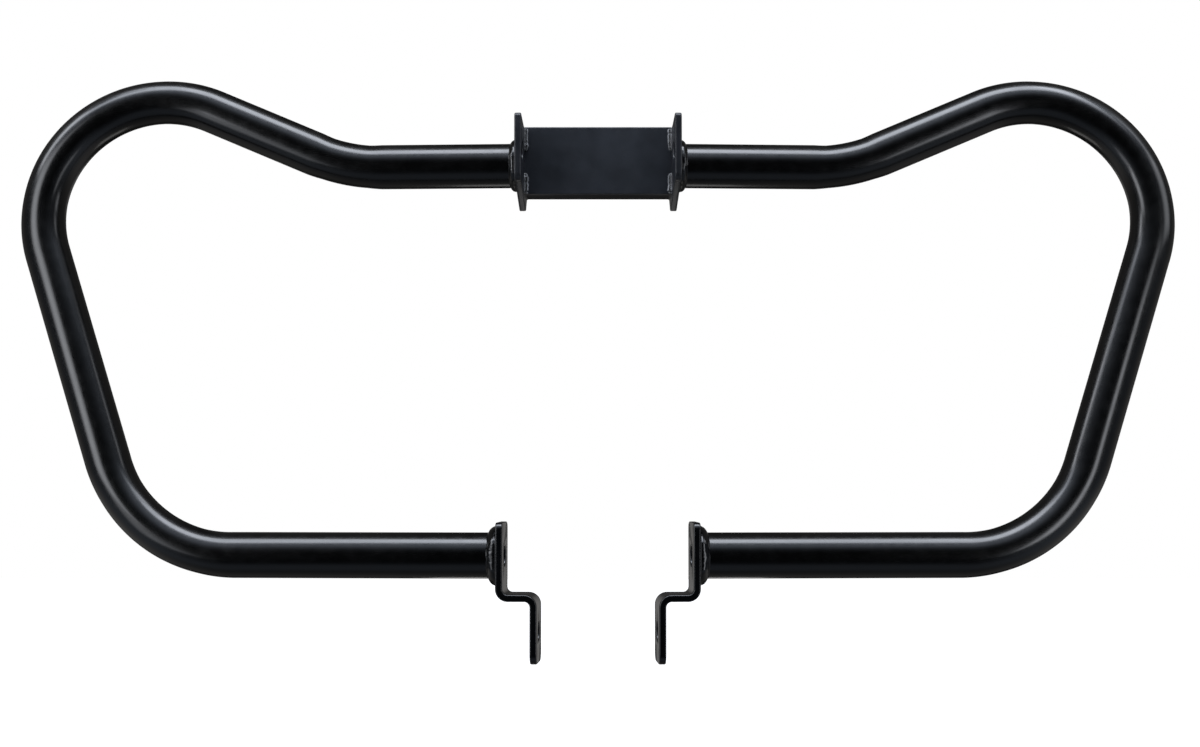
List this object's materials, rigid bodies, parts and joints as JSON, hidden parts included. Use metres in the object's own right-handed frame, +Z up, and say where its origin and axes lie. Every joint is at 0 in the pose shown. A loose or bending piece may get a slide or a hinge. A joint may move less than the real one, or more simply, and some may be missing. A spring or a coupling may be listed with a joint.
{
  "type": "motorcycle crash bars",
  "caption": "Front crash bars for a motorcycle: bent tubes loop out from a recessed channel bracket at the top and back down to offset bolt-on straps at the bottom, all painted black.",
  "frame": {"origin": "on the axis of the upper cross bolt, midway between the two side plates", "axes": "+X across the motorcycle, towards the right of the front view; +Y to the rear of the motorcycle, away from the viewer; +Z up"},
  "size_m": [0.829, 0.1117, 0.415],
  "materials": {
    "tube_coat": "gloss black powder coat over steel tube",
    "bracket_coat": "satin to gloss black powder coat over cut and bent steel plate",
    "bead_coat": "gloss black powder coat over rippled weld bead"
  },
  "bodies": {
    "root": {"centre_channel": "bracket_coat", "guard_tube_right": "tube_coat", "guard_tube_left": "tube_coat", "side_plate_right": "bracket_coat", "side_plate_left": "bracket_coat", "lower_strap_right": "bracket_coat", "lower_strap_left": "bracket_coat", "tube_weld_right": "bead_coat", "tube_weld_left": "bead_coat", "strap_weld_right": "bead_coat", "strap_weld_left": "bead_coat", "panel_weld_upper_right": "bead_coat", "panel_weld_upper_left": "bead_coat", "panel_weld_lower_right": "bead_coat", "panel_weld_lower_left": "bead_coat"}
  },
  "joints": []
}
